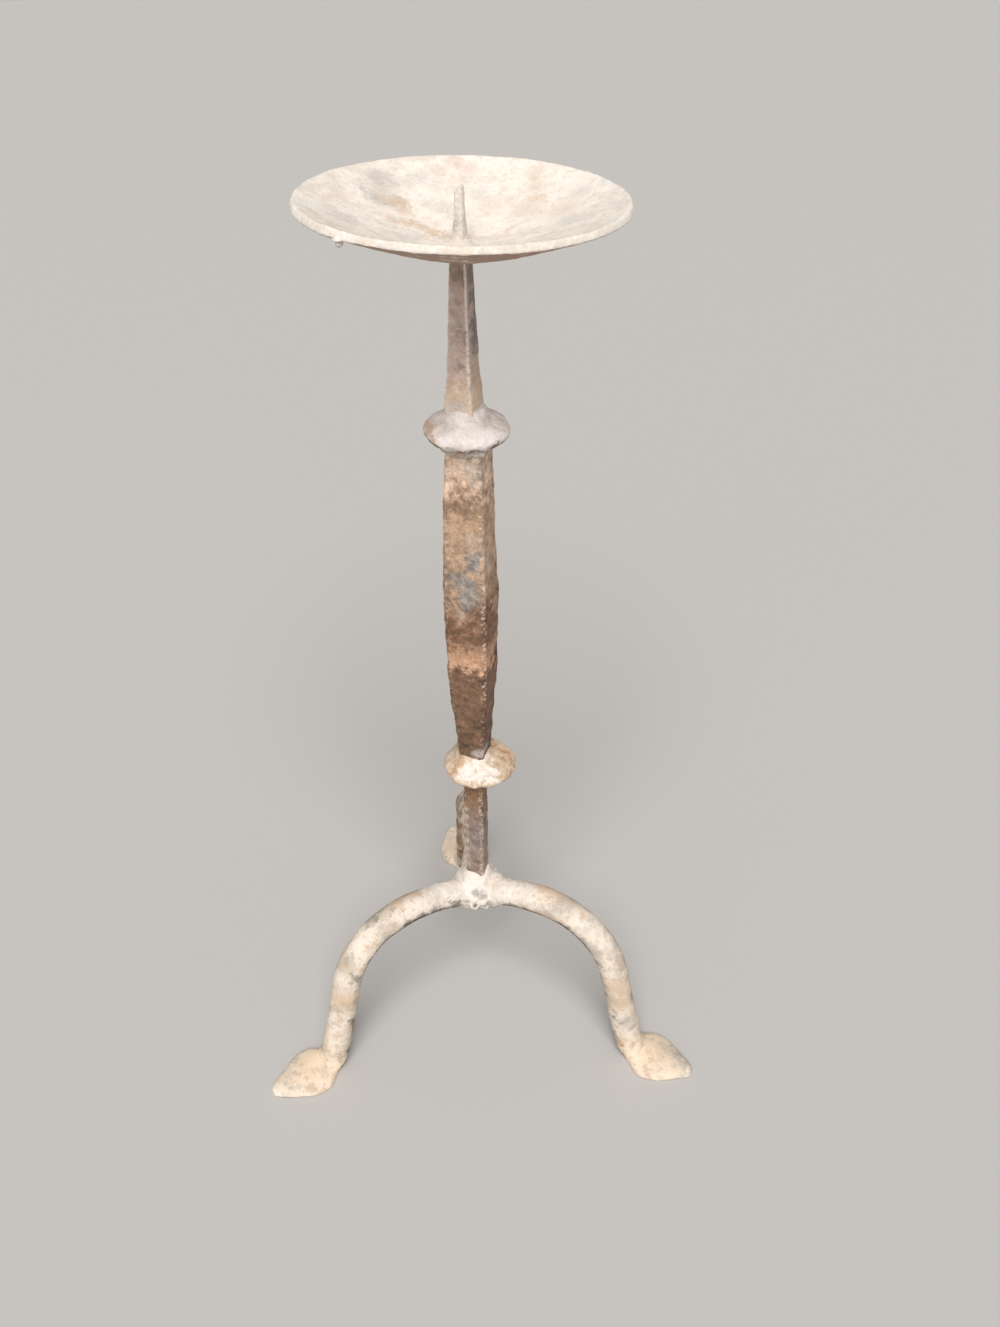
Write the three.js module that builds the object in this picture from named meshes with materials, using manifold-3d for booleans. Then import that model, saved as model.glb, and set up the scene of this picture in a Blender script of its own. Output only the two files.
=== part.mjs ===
// A forged iron pricket candlestick on three legs.
// A dished drip pan sits on a tapered square stem, whose drawn point comes up through it as the pricket.
// Below the stem are a bead knop, a swelled square shaft and a second knop.
// The shaft's drawn-down lower end stands among three arched round legs with leaf-shaped feet,
// and one lump of weld holds it and the legs together.
// Millimetres, +Z up. The pieces are built about the stem's axis, and then the whole is moved
// so that the origin is the middle of its footprint, at floor level.

import * as THREE from "three";
import { mergeVertices } from "three/addons/utils/BufferGeometryUtils.js";
import Module from "manifold-3d";

const wasm = await Module();
wasm.setup();

// Clearance between two pieces that seat on or in each other
const seatGap = 0.3;

// Legs: a round bar that rises from the hub to a crown, turns down at the knee and runs out to the foot
const legDiameter = 12.7;
const legHubDiameter = 11;
const crownHeight = 83.8;
const crownReach = 33;
const crownRise = 8.7;
const kneeRadius = 36.8;
const shankSplay = 13;
const leftLegAzimuth = 211.5;
const rightLegAzimuth = 334;
const backLegAzimuth = 95.5;

// Feet: the bar's end beaten out to a leaf, flat below and crowned above
const footLength = 36.5;
const footWidth = 25.4;
const footWidestFromHeel = 15.5;
const footTipRadius = 3;
const footTipThickness = 2.6;
const footAnkleThickness = 9;
const footEdgeLift = 1;
const footSoleShare = 0.86;
const footHeelTurn = 72;
const footTipTurn = 50;
const footEndTurn = 15;
const footBluntness = 0.8;
const backFootTurn = 14;

// Lower stem and swelled shaft: one square bar with eased edges, turned a little about its axis
const lowerStemSide = 8.7;
const lowerStemLength = 76;
const barEdgeRadius = 1.2;
const shaftTurn = -18;
const shaftLength = 142;
const shaftBellySide = 16.7;
const shaftBellyHeight = 75;
const shaftFootShoulder = 0.9;

// Knops: beads pierced for the bars
const lowerKnopDiameter = 29.4;
const lowerKnopThickness = 8.6;
const lowerKnopOffset = 2;
const upperKnopDiameter = 28.8;
const upperKnopThickness = 9.6;

// Pricket stem: a square bar with a round tenon below, a foot left thick, a long taper
// and the drawn pricket above, standing a little to one side of the shaft's axis
const stemFootSide = 9.9;
const stemFootHeight = 9;
const stemFootDraw = 3.5;
const stemNeckSide = 8.2;
const stemHeadSide = 5;
const stemLength = 53;
const stemOffset = -0.8;
const stemTurn = -25;
const stemEdgeRadius = 0.9;
const tenonShoulder = 1.35;
const tenonDepth = 12;
const socketWall = 2.6;
const pricketShoulder = 0.6;
const pricketHeight = 16.6;
const pricketTipDiameter = 1.8;
const pricketEdgeRadius = 0.5;

// Drip pan: a dished disc of sheet iron with a small flat in the middle, leaning a little
const panDiameter = 100;
const panDepth = 13.4;
const panSheet = 1.8;
const panFlatRadius = 8;
const panRimSlope = 21;
const panLean = 1.2;
const panLeanAzimuth = -19;

// Welds: a lump at the hub, and fillets under the upper knop and round the pricket's root
const hubWeldReach = 5;
const hubWeldCover = 1.8;
const hubWeldRise = 13;
const hubWeldCollar = 0.8;
const knopWeldLeg = 2.2;
const knopWeldToe = 0.5;
const panWeldLeg = 1.5;
const panWeldHeight = 2.2;
const panWeldToe = 0.4;

// Facets
const barCornerSteps = 2;
const legSides = 16;
const archSteps = 5;
const kneeSteps = 12;
const shankSteps = 4;
const heelSteps = 3;
const leafSwellSteps = 4;
const leafTaperSteps = 6;
const leafTipSteps = 2;
const footSectionSteps = 10;
const shaftSteps = 20;
const knopSegments = 40;
const knopSteps = 14;
const panSegments = 64;
const panSteps = 10;
const panEdgeSteps = 4;
const weldSegments = 32;
const weldSteps = 6;

const degrees = Math.PI / 180;

// Radii and heights that follow from the sizes above
const legRadius = legDiameter / 2;
const legHubRadius = legHubDiameter / 2;
const legAzimuths = [leftLegAzimuth, rightLegAzimuth, backLegAzimuth].map((azimuth) => azimuth * degrees);
const legStart = legStartRadius();
const legHubHeight = crownHeight - crownRise;
const shaftFootSide = lowerStemSide + 2 * shaftFootShoulder;
const tenonDiameter = stemFootSide - 2 * tenonShoulder;
const socketDiameter = tenonDiameter + 2 * seatGap;
const shaftHeadSide = socketDiameter + 2 * socketWall;
const pricketRootDiameter = stemHeadSide - 2 * pricketShoulder;
const panHoleRadius = pricketRootDiameter / 2 + seatGap;
const shaftBottom = legHubHeight - legHubRadius;
const lowerKnopBottom = legHubHeight + lowerStemLength;
const lowerKnopTop = lowerKnopBottom + lowerKnopThickness;
const shaftFoot = lowerKnopTop + seatGap;
const shaftTop = shaftFoot + shaftLength;
const upperKnopBottom = shaftTop + seatGap;
const upperKnopTop = upperKnopBottom + upperKnopThickness;
const stemFoot = upperKnopTop + seatGap;
const panSeat = stemFoot + stemLength;
const panUnderside = panSeat + seatGap;
const panFloor = panUnderside + panSheet;

// Half the diagonal of a square bar with eased edges
function cornerReach(side, edgeRadius) {
  return (side / 2 - edgeRadius) * Math.SQRT2 + edgeRadius;
}

// The side of the square bar with eased edges that a circle just holds
function sideWithin(diameter, edgeRadius) {
  return 2 * ((diameter / 2 - edgeRadius) / Math.SQRT2 + edgeRadius);
}

// The legs stop clear of the bar's corners and of one another
function legStartRadius() {
  const turns = [...legAzimuths].sort((a, b) => a - b);
  const before = [turns.at(-1) - 2 * Math.PI, ...turns];
  const spaces = turns.map((turn, i) => turn - before[i]);
  const clearOfLegs = (legHubRadius + seatGap) / Math.tan(Math.min(...spaces) / 2);
  const clearOfBar = cornerReach(lowerStemSide, barEdgeRadius) + seatGap;
  return Math.max(clearOfLegs, clearOfBar);
}

// A closed body through a row of rings that all have the same number of points.
// Each ring runs counter-clockwise when the next one is towards the viewer.
function loft(rings) {
  const sides = rings[0].length;
  const last = (rings.length - 1) * sides;
  const triangles = [];
  for (let low = 0; low < last; low += sides) {
    for (let side = 0; side < sides; side += 1) {
      const next = (side + 1) % sides;
      triangles.push(low + side, low + next, low + sides + next);
      triangles.push(low + side, low + sides + next, low + sides + side);
    }
  }
  for (let side = 1; side + 1 < sides; side += 1) {
    triangles.push(0, side + 1, side);
    triangles.push(last, last + side, last + side + 1);
  }
  const geometry = new THREE.BufferGeometry();
  geometry.setFromPoints(rings.flat());
  geometry.setIndex(triangles);
  return geometry;
}

// A body turned about the Z axis from a profile of (radius, height) points
function revolve(profile, segments) {
  return new THREE.LatheGeometry(profile, segments).rotateX(Math.PI / 2);
}

// A square with eased corners at one height; an edge radius of half the side makes it a circle
function squareRing(side, edgeRadius, height, turn) {
  const flat = side / 2 - edgeRadius;
  const corners = [[1, 1], [-1, 1], [-1, -1], [1, -1]];
  const axis = new THREE.Vector3(0, 0, 1);
  return corners.flatMap(([signX, signY], corner) => {
    const points = [];
    for (let step = 0; step <= barCornerSteps; step += 1) {
      const angle = (corner + step / barCornerSteps) * Math.PI / 2;
      const x = signX * flat + edgeRadius * Math.cos(angle);
      const y = signY * flat + edgeRadius * Math.sin(angle);
      points.push(new THREE.Vector3(x, y, height).applyAxisAngle(axis, turn * degrees));
    }
    return points;
  });
}

// A closed geometry as a solid that can be joined and cut
function solid(geometry) {
  const bare = geometry.clone();
  bare.deleteAttribute("normal");
  bare.deleteAttribute("uv");
  const merged = mergeVertices(bare);
  return new wasm.Manifold(new wasm.Mesh({
    numProp: 3,
    vertProperties: merged.attributes.position.array,
    triVerts: new Uint32Array(merged.index.array),
  }));
}

function geometryOf(body) {
  const mesh = body.getMesh();
  const geometry = new THREE.BufferGeometry();
  geometry.setAttribute("position", new THREE.BufferAttribute(mesh.vertProperties, mesh.numProp));
  geometry.setIndex(new THREE.BufferAttribute(mesh.triVerts, 1));
  return geometry;
}

// The leg's centreline in its own upright plane: distance from the stem's axis, and height
function legCentreline() {
  const run = crownReach - legStart;
  const innerRadius = (run ** 2 + crownRise ** 2) / (2 * crownRise);
  const hubAngle = Math.PI / 2 + Math.asin(run / innerRadius);
  const kneeEnd = shankSplay * degrees;
  const inner = new THREE.EllipseCurve(
    crownReach, crownHeight - innerRadius, innerRadius, innerRadius, hubAngle, Math.PI / 2, true);
  const knee = new THREE.EllipseCurve(
    crownReach, crownHeight - kneeRadius, kneeRadius, kneeRadius, Math.PI / 2, kneeEnd, true);
  const kneeFoot = knee.getPoint(1);
  const ankleReach = kneeFoot.x + kneeFoot.y * Math.tan(kneeEnd);
  const shank = new THREE.LineCurve(kneeFoot, new THREE.Vector2(ankleReach, 0));
  return { inner, knee, shank, ankleReach };
}

// Half the bar's round end, the swell to the widest point, the long taper and the blunt tip,
// as (distance along the foot from the ankle, half width).
// Both ends stop short of the leaf's midline, so that every section has a width.
function footOutline() {
  const heel = -legRadius;
  const widest = heel + footWidestFromHeel;
  const tip = heel + footLength;
  const halfWidth = footWidth / 2;
  const endTurn = footEndTurn * degrees;
  const heelTurn = footHeelTurn * degrees;
  const tipTurn = footTipTurn * degrees;
  const tipCentre = tip - footTipRadius;
  const tipJoin = new THREE.Vector2(
    tipCentre + footTipRadius * Math.cos(tipTurn), footTipRadius * Math.sin(tipTurn));
  const taperPull = (tipJoin.x - widest) / 2;
  const roundHeel = new THREE.EllipseCurve(
    0, 0, legRadius, legRadius, Math.PI - endTurn, Math.PI - heelTurn, true);
  const swellStart = roundHeel.getPoint(1);
  const swellPull = (widest - swellStart.x) / 3;
  const swell = new THREE.CubicBezierCurve(
    swellStart,
    new THREE.Vector2(swellStart.x + swellPull, (swellStart.y + halfWidth) / 2),
    new THREE.Vector2(widest - swellPull, halfWidth),
    new THREE.Vector2(widest, halfWidth));
  const taper = new THREE.CubicBezierCurve(
    new THREE.Vector2(widest, halfWidth),
    new THREE.Vector2(widest + taperPull, halfWidth),
    new THREE.Vector2(
      tipJoin.x - taperPull * Math.sin(tipTurn), tipJoin.y + taperPull * Math.cos(tipTurn)),
    tipJoin);
  const bluntTip = new THREE.EllipseCurve(
    tipCentre, 0, footTipRadius, footTipRadius, tipTurn, endTurn, true);
  const outline = [
    ...roundHeel.getPoints(heelSteps),
    ...swell.getPoints(leafSwellSteps).slice(1),
    ...taper.getPoints(leafTaperSteps).slice(1),
    ...bluntTip.getPoints(leafTipSteps).slice(1),
  ];
  return { outline, tip };
}

// A leaf about the ankle: each section is half a blunt ellipse over a flat sole that is
// a little narrower, so that the edge stands clear of the floor
function footGeometry() {
  const { outline, tip } = footOutline();
  const rings = outline.map(({ x, y: halfWidth }) => {
    const toTip = THREE.MathUtils.clamp(x / tip, 0, 1);
    const thickness = THREE.MathUtils.lerp(footTipThickness, footAnkleThickness, (1 - toTip) ** 2);
    const crown = thickness - footEdgeLift;
    const soleEdge = halfWidth * footSoleShare;
    const points = [];
    for (let step = 0; step <= footSectionSteps; step += 1) {
      const angle = Math.PI * step / footSectionSteps;
      const across = Math.sign(Math.cos(angle)) * Math.abs(Math.cos(angle)) ** footBluntness;
      const up = Math.sin(angle) ** footBluntness;
      points.push(new THREE.Vector3(x, across * halfWidth, footEdgeLift + up * crown));
    }
    points.push(new THREE.Vector3(x, -soleEdge, 0), new THREE.Vector3(x, soleEdge, 0));
    return points;
  });
  return loft(rings);
}

// A circle about a point of the leg's plane, square to the direction that the bar takes there
function barRing(point, direction, radius) {
  const side = new THREE.Vector3(0, 1, 0);
  const normal = new THREE.Vector3(direction.x, 0, direction.y).cross(side);
  const ring = [];
  for (let i = 0; i < legSides; i += 1) {
    const angle = 2 * Math.PI * i / legSides;
    ring.push(new THREE.Vector3(point.x, 0, point.y)
      .addScaledVector(side, radius * Math.cos(angle))
      .addScaledVector(normal, radius * Math.sin(angle)));
  }
  return ring;
}

// The round bar from the hub to the ankle, grown by the given clearance all round.
// Its hub end is cut upright, to face the stem.
function legBarGeometry(clearance) {
  const { inner, knee, shank } = legCentreline();
  const hubEnd = new THREE.Vector2(legStart - clearance, legHubHeight);
  const rings = [barRing(hubEnd, new THREE.Vector2(1, 0), legHubRadius + clearance)];
  const addRings = (curve, steps, startRadius) => {
    for (let step = 1; step <= steps; step += 1) {
      const along = step / steps;
      const radius = THREE.MathUtils.lerp(startRadius, legRadius, along) + clearance;
      rings.push(barRing(curve.getPoint(along), curve.getTangent(along), radius));
    }
  };
  addRings(inner, archSteps, legHubRadius);
  addRings(knee, kneeSteps, legRadius);
  addRings(shank, shankSteps, legRadius);
  return loft(rings);
}

// Everything below the floor, to cut the slanting end of the bar flush with the sole
function belowFloor() {
  const width = 2 * (crownReach + kneeRadius + footLength + crownHeight);
  const depth = 2 * legDiameter;
  return solid(new THREE.BoxGeometry(width, width, depth).translate(0, 0, -depth / 2));
}

// The foot may be turned aside about the ankle
function legGeometry(footTurn) {
  const { ankleReach } = legCentreline();
  const bar = solid(legBarGeometry(0)).subtract(belowFloor());
  const foot = footGeometry().rotateZ(footTurn * degrees).translate(ankleReach, 0, 0);
  return geometryOf(bar.add(solid(foot)));
}

// The shaft's side at a height, swelling by one parabola below the belly and another above it
function shaftSideAt(height) {
  const belly = shaftFoot + shaftBellyHeight;
  const below = height < belly;
  const endSide = below ? shaftFootSide : shaftHeadSide;
  const span = below ? belly - shaftFoot : shaftTop - belly;
  return shaftBellySide - (shaftBellySide - endSide) * ((height - belly) / span) ** 2;
}

// The whole bar, lower stem and shaft, grown by the given clearance all round
function shaftBarGeometry(clearance) {
  const ring = (side, height) =>
    squareRing(side + 2 * clearance, barEdgeRadius + clearance, height, shaftTurn);
  const rings = [
    ring(lowerStemSide, shaftBottom - clearance),
    ring(lowerStemSide, shaftFoot - clearance),
    ring(shaftFootSide, shaftFoot - clearance),
  ];
  for (let step = 1; step < shaftSteps; step += 1) {
    const height = shaftFoot + shaftLength * step / shaftSteps;
    rings.push(ring(shaftSideAt(height), height));
  }
  rings.push(ring(shaftHeadSide, shaftTop + clearance));
  return loft(rings);
}

function shaftGeometry() {
  const socketBottom = shaftTop - tenonDepth - seatGap;
  const socketRadius = socketDiameter / 2;
  const socket = loft([
    squareRing(socketDiameter, socketRadius, socketBottom, stemTurn),
    squareRing(socketDiameter, socketRadius, shaftTop + seatGap, stemTurn),
  ]);
  return geometryOf(solid(shaftBarGeometry(0)).subtract(solid(socket.translate(stemOffset, 0, 0))));
}

// A bead with a flat land above and below, where the bars seat
function beadGeometry(diameter, thickness, landRadius) {
  const radius = diameter / 2;
  const half = thickness / 2;
  const bulge = half / Math.sqrt(1 - (landRadius / radius) ** 2);
  const edge = Math.asin(half / bulge);
  const side = new THREE.EllipseCurve(0, 0, radius, bulge, -edge, edge);
  const profile = [
    new THREE.Vector2(0, -half),
    ...side.getPoints(knopSteps),
    new THREE.Vector2(0, half),
  ];
  return revolve(profile, knopSegments);
}

// The lower bead hangs a little to one side of its square hole
function lowerKnopGeometry() {
  const middle = (lowerKnopBottom + lowerKnopTop) / 2;
  const bead = beadGeometry(lowerKnopDiameter, lowerKnopThickness, shaftFootSide / 2 + lowerKnopOffset);
  const hole = loft([lowerKnopBottom - seatGap, lowerKnopTop + seatGap].map((height) =>
    squareRing(lowerStemSide + 2 * seatGap, barEdgeRadius + seatGap, height, shaftTurn)));
  return geometryOf(solid(bead.translate(lowerKnopOffset, 0, middle)).subtract(solid(hole)));
}

function upperKnopGeometry() {
  const middle = (upperKnopBottom + upperKnopTop) / 2;
  const bead = beadGeometry(upperKnopDiameter, upperKnopThickness, shaftHeadSide / 2);
  const hole = loft([upperKnopBottom - seatGap, upperKnopTop + seatGap].map((height) =>
    squareRing(socketDiameter, socketDiameter / 2, height, stemTurn)));
  hole.translate(stemOffset, 0, 0);
  return geometryOf(solid(bead.translate(0, 0, middle)).subtract(solid(hole)));
}

// Tenon, thick foot, taper and pan shoulder.
// The pricket is round where it passes the pan, and above the weld it is square to its blunt tip.
function pricketStemGeometry() {
  const round = (diameter, height) => squareRing(diameter, diameter / 2, height, stemTurn);
  const bar = (side, height) => squareRing(side, stemEdgeRadius, height, stemTurn);
  const point = (diameter, height) =>
    squareRing(sideWithin(diameter, pricketEdgeRadius), pricketEdgeRadius, height, stemTurn);
  return loft([
    round(tenonDiameter, shaftTop - tenonDepth),
    round(tenonDiameter, stemFoot),
    bar(stemFootSide, stemFoot),
    bar(stemFootSide, stemFoot + stemFootHeight),
    bar(stemNeckSide, stemFoot + stemFootHeight + stemFootDraw),
    bar(stemHeadSide, panSeat),
    round(pricketRootDiameter, panSeat),
    round(pricketRootDiameter, panFloor),
    point(pricketRootDiameter, panFloor + panWeldHeight),
    point(pricketTipDiameter, panFloor + pricketHeight),
  ]).translate(stemOffset, 0, 0);
}

// The sheet runs from a middle flat, up a curve that straightens towards the rim, to a rounded edge.
// Its floor is at height 0, and its hole is where the stem comes up.
function dripPanGeometry() {
  const edgeRadius = panSheet / 2;
  const rim = new THREE.Vector2(panDiameter / 2 - edgeRadius, panDepth - edgeRadius);
  const rimSlope = panRimSlope * degrees;
  const bendReach = Math.max(panFlatRadius, rim.x - rim.y / Math.tan(rimSlope));
  const dish = new THREE.QuadraticBezierCurve(
    new THREE.Vector2(panFlatRadius, -edgeRadius), new THREE.Vector2(bendReach, -edgeRadius), rim);
  const skin = (offset) => dish.getPoints(panSteps).map((point, step) => {
    const tangent = dish.getTangent(step / panSteps);
    const outward = new THREE.Vector2(tangent.y, -tangent.x);
    return point.addScaledVector(outward, offset);
  });
  const edge = new THREE.EllipseCurve(
    rim.x, rim.y, edgeRadius, edgeRadius, rimSlope - Math.PI / 2, rimSlope + Math.PI / 2);
  const profile = [
    new THREE.Vector2(0, -panSheet),
    ...skin(edgeRadius),
    ...edge.getPoints(panEdgeSteps).slice(1, -1),
    ...skin(-edgeRadius).reverse(),
    new THREE.Vector2(0, 0),
  ];
  const hole = loft([-2 * panSheet, panSheet].map((height) =>
    squareRing(2 * panHoleRadius, panHoleRadius, height, stemTurn)));
  hole.translate(stemOffset, 0, 0);
  return geometryOf(solid(revolve(profile, panSegments)).subtract(solid(hole)));
}

// A ring of weld with a sloping face, on the pan's floor round the pricket
function panWeldGeometry() {
  const base = seatGap;
  const profile = [
    new THREE.Vector2(panHoleRadius, base),
    new THREE.Vector2(panHoleRadius + panWeldLeg, base),
    new THREE.Vector2(panHoleRadius + panWeldToe, base + panWeldHeight),
    new THREE.Vector2(panHoleRadius, base + panWeldHeight),
    new THREE.Vector2(panHoleRadius, base),
  ];
  return revolve(profile, weldSegments).translate(stemOffset, 0, 0);
}

// A collar of weld in the corner between the shaft's head and the knop over it
function upperKnopWeldGeometry() {
  const ring = (proud, height) => {
    const out = seatGap + proud;
    return squareRing(shaftSideAt(height) + 2 * out, barEdgeRadius + out, height, shaftTurn);
  };
  const collar = loft([ring(knopWeldToe, shaftTop - knopWeldLeg), ring(knopWeldLeg, shaftTop)]);
  return geometryOf(solid(collar).subtract(solid(shaftBarGeometry(seatGap))));
}

// A lump that bulges between the legs and draws in to a collar up the stem
function hubWeldGeometry() {
  const radius = legStart + hubWeldReach;
  const bottom = shaftBottom - hubWeldCover;
  const top = legHubHeight + hubWeldRise;
  const collar = cornerReach(lowerStemSide, barEdgeRadius) + seatGap + hubWeldCollar;
  const belly = new THREE.QuadraticBezierCurve(
    new THREE.Vector2(0, bottom),
    new THREE.Vector2(radius, bottom),
    new THREE.Vector2(radius, legHubHeight));
  const shoulder = new THREE.QuadraticBezierCurve(
    new THREE.Vector2(radius, legHubHeight),
    new THREE.Vector2(radius, (legHubHeight + top) / 2),
    new THREE.Vector2(collar, top));
  const profile = [
    ...belly.getPoints(weldSteps),
    ...shoulder.getPoints(weldSteps).slice(1),
    new THREE.Vector2(0, top),
  ];
  const lump = solid(revolve(profile, weldSegments)).subtract(solid(shaftBarGeometry(seatGap)));
  return geometryOf(legAzimuths.reduce(
    (rest, azimuth) => rest.subtract(solid(legBarGeometry(seatGap).rotateZ(azimuth))), lump));
}

const pieces = new THREE.Group();

function addPiece(name, geometry, colour, roughness, metalness) {
  geometry.computeVertexNormals();
  const finish = new THREE.MeshStandardMaterial({ color: colour, roughness, metalness });
  const mesh = new THREE.Mesh(geometry, finish);
  mesh.name = name;
  pieces.add(mesh);
  return mesh;
}

// The pan leans about its floor's middle, and its ring of weld with it
const panGroup = new THREE.Group();
panGroup.position.z = panFloor;
const leanAxis = new THREE.Vector3(0, 1, 0);
leanAxis.applyAxisAngle(new THREE.Vector3(0, 0, 1), panLeanAzimuth * degrees);
panGroup.quaternion.setFromAxisAngle(leanAxis, panLean * degrees);
pieces.add(panGroup);

// Limewash lies thick on the pan, knops and legs, and has worn off the bars to rusty iron
panGroup.add(addPiece("drip_pan", dripPanGeometry(), "#e6d9cc", 0.75, 0.1));
panGroup.add(addPiece("pan_weld", panWeldGeometry(), "#cfc2b6", 0.8, 0.2));
addPiece("pricket_stem", pricketStemGeometry(), "#a98f7c", 0.65, 0.4);
addPiece("upper_knop", upperKnopGeometry(), "#ddc7b4", 0.7, 0.15);
addPiece("upper_knop_weld", upperKnopWeldGeometry(), "#cbb09a", 0.8, 0.2);
addPiece("shaft", shaftGeometry(), "#a88468", 0.65, 0.4);
addPiece("lower_knop", lowerKnopGeometry(), "#ddc7b4", 0.7, 0.15);
addPiece("hub_weld", hubWeldGeometry(), "#e4d5c6", 0.8, 0.15);
const footTurns = { left_leg: 0, right_leg: 0, back_leg: backFootTurn };
Object.entries(footTurns).forEach(([name, footTurn], i) => {
  const leg = addPiece(name, legGeometry(footTurn), "#d8c3ac", 0.7, 0.15);
  leg.rotation.z = legAzimuths[i];
});

const footprint = new THREE.Box3().setFromObject(pieces, true).getCenter(new THREE.Vector3());
pieces.position.set(-footprint.x, -footprint.y, 0);

const candlestick = new THREE.Group();
candlestick.name = "tripod_candlestick";
candlestick.add(pieces);

export default candlestick;
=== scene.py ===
"""A forged iron pricket candlestick on three legs, rusted and worn, with the remains of a pale limewash."""

import math

import bmesh
import bpy
from mathutils import Matrix, Vector


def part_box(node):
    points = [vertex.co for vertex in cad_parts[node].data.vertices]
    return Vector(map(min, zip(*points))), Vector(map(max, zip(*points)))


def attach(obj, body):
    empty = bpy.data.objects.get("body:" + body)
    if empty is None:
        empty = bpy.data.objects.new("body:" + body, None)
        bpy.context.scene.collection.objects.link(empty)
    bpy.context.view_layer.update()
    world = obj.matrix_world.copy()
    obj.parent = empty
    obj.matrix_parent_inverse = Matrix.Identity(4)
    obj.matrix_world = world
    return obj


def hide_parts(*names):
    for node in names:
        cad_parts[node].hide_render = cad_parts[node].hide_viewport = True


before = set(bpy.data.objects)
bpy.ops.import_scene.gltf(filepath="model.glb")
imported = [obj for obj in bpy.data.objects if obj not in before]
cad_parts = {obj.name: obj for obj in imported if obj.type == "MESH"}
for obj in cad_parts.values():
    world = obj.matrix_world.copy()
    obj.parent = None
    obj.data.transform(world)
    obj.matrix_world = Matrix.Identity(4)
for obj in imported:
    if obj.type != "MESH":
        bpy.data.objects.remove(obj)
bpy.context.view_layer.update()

MM = 0.001

# The stem's axis, from the shaft's own box
shaft_low, shaft_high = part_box("shaft")
AXIS = Vector(((shaft_low.x + shaft_high.x) / 2, (shaft_low.y + shaft_high.y) / 2, 0))

# Sizes are in mm and degrees, and heights are above the floor

# Legs and feet, as the solids have them
LEG_AZIMUTHS = {"left_leg": 211.5, "right_leg": 334.0, "back_leg": 95.5}
FOOT_TURNS = {"left_leg": 0, "right_leg": 0, "back_leg": 14}
LEG_RADIUS = 6.35
LEG_HUB_RADIUS = 5.5
LEG_START = 5.95
CROWN_HEIGHT = 83.8
CROWN_REACH = 33.0
CROWN_RISE = 8.7
ARCH_STEPS = 6
KNEE_RADIUS = 36.8
KNEE_STEPS = 14
SHANK_SPLAY = math.radians(13)
ANKLE_HEIGHT = 9.0
ANKLE_RADIUS = 8.0
ANKLE_TURN = math.radians(57)
ANKLE_STEPS = 4
ANKLE_FLATTENING = (1, 1.06, 0.86)
FOOT_MIDDLE = 0.7

# Square bars
LOWER_STEM_FOOT = 69.6
LOWER_STEM_TOP = 159.4
LOWER_STEM_SIDE = 8.7
SHAFT_TURN = -18
SHAFT_FOOT = 160.0
SHAFT_BELLY = 235.0
SHAFT_TOP = 302.0
SHAFT_FOOT_SIDE = 10.5
SHAFT_BELLY_SIDE = 16.7
SHAFT_TOP_SIDE = 13.0
SHAFT_CHAMFER = 1.3
STEM_TURN = -25
STEM_OFFSET = -0.8
STEM_CHAMFER = 0.5
TIP_HEIGHT = 383.9
TIP_SLANT = 1.6

# Knops: a ball a little taller than the solid, and a cake of scale that goes by the side of the bar on it
KNOP_COAT = 0.2
KNOP_FULLNESS = 1.14
CAKE_FOOT_SHARE = 0.88
CAKE_TOP_SHARE = 0.6
CAKE_HEIGHT = 4.4
CAKE_LIFT = 1.0

# Drip pan: the middle of its sheet runs from the flat's edge, by the bend, to the rim
PAN_FLOOR = 367.3
PAN_SHEET = 1.8
PAN_COAT = 0.5
PAN_FLAT_EDGE = Vector((8, -0.9))
PAN_BEND = Vector((16.54, -0.9))
PAN_RIM = Vector((49.1, 12.5))
PAN_RIM_ROUNDING = 0.55
PAN_RINGS = 20
PAN_LEAN = 1.2
PAN_LEAN_AZIMUTH = -19
DRIP_AZIMUTH = 230
DRIP_REACH = 49.3
DRIP_HEIGHT = 378.5
DRIP_RADIUS = 1.15

# Welds
COLLAR_HALF = 6.9
COLLAR_HEIGHT = 301.6
COLLAR_LUMPS = 5
HUB_HEIGHT = 77.9
HUB_RADIUS = 11.8
HUB_FLATNESS = 0.8
TOE_START_RADIUS = 7.1
TOE_END_RADIUS = 5.4
TOE_STEPS = 5
TOE_LIFT = 0.5
HEEL_RADIUS = 3.2
HEEL_LENGTH = 6.0

# Camera, fitted to the photo: its focal length and height of picture are in pixels, its angles in radians
CAMERA_PLACE = (10.73, -329.38, 460.96)
CAMERA_DIP = 0.6552
CAMERA_ROLL = -0.003
FOCAL_LENGTH = 1059.95
PICTURE_HEIGHT = 1327
SENSOR_HEIGHT = 36


def about_axis(x, y, z):
    """A place given in mm about the stem's axis."""
    return AXIS + Vector((x, y, z)) * MM


def alone(piece):
    """Selects one piece and nothing else."""
    bpy.ops.object.select_all(action="DESELECT")
    piece.select_set(True)
    bpy.context.view_layer.objects.active = piece


def added(name):
    """Names the primitive that was just added and puts its place into its mesh."""
    piece = bpy.context.object
    piece.name = piece.data.name = name
    alone(piece)
    bpy.ops.object.transform_apply(location=True, rotation=True, scale=True)
    return piece


def pick(piece, kind, test):
    """Selects the vertices or the edges of the piece being edited that pass a test."""
    mesh = bmesh.from_edit_mesh(piece.data)
    for parts in (mesh.verts, mesh.edges, mesh.faces):
        for part in parts:
            part.select = False
    bpy.ops.mesh.select_mode(type=kind)
    for part in mesh.verts if kind == "VERT" else mesh.edges:
        if test(part):
            part.select = True
    mesh.select_flush(True)
    bmesh.update_edit_mesh(piece.data)


def stretch(piece, growth, middle):
    """Stretches or flattens a whole piece along X, Y and Z about one place."""
    alone(piece)
    bpy.ops.object.mode_set(mode="EDIT")
    bpy.ops.mesh.select_all(action="SELECT")
    bpy.ops.transform.resize(value=growth, center_override=middle)
    bpy.ops.object.mode_set(mode="OBJECT")
    return piece


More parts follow.
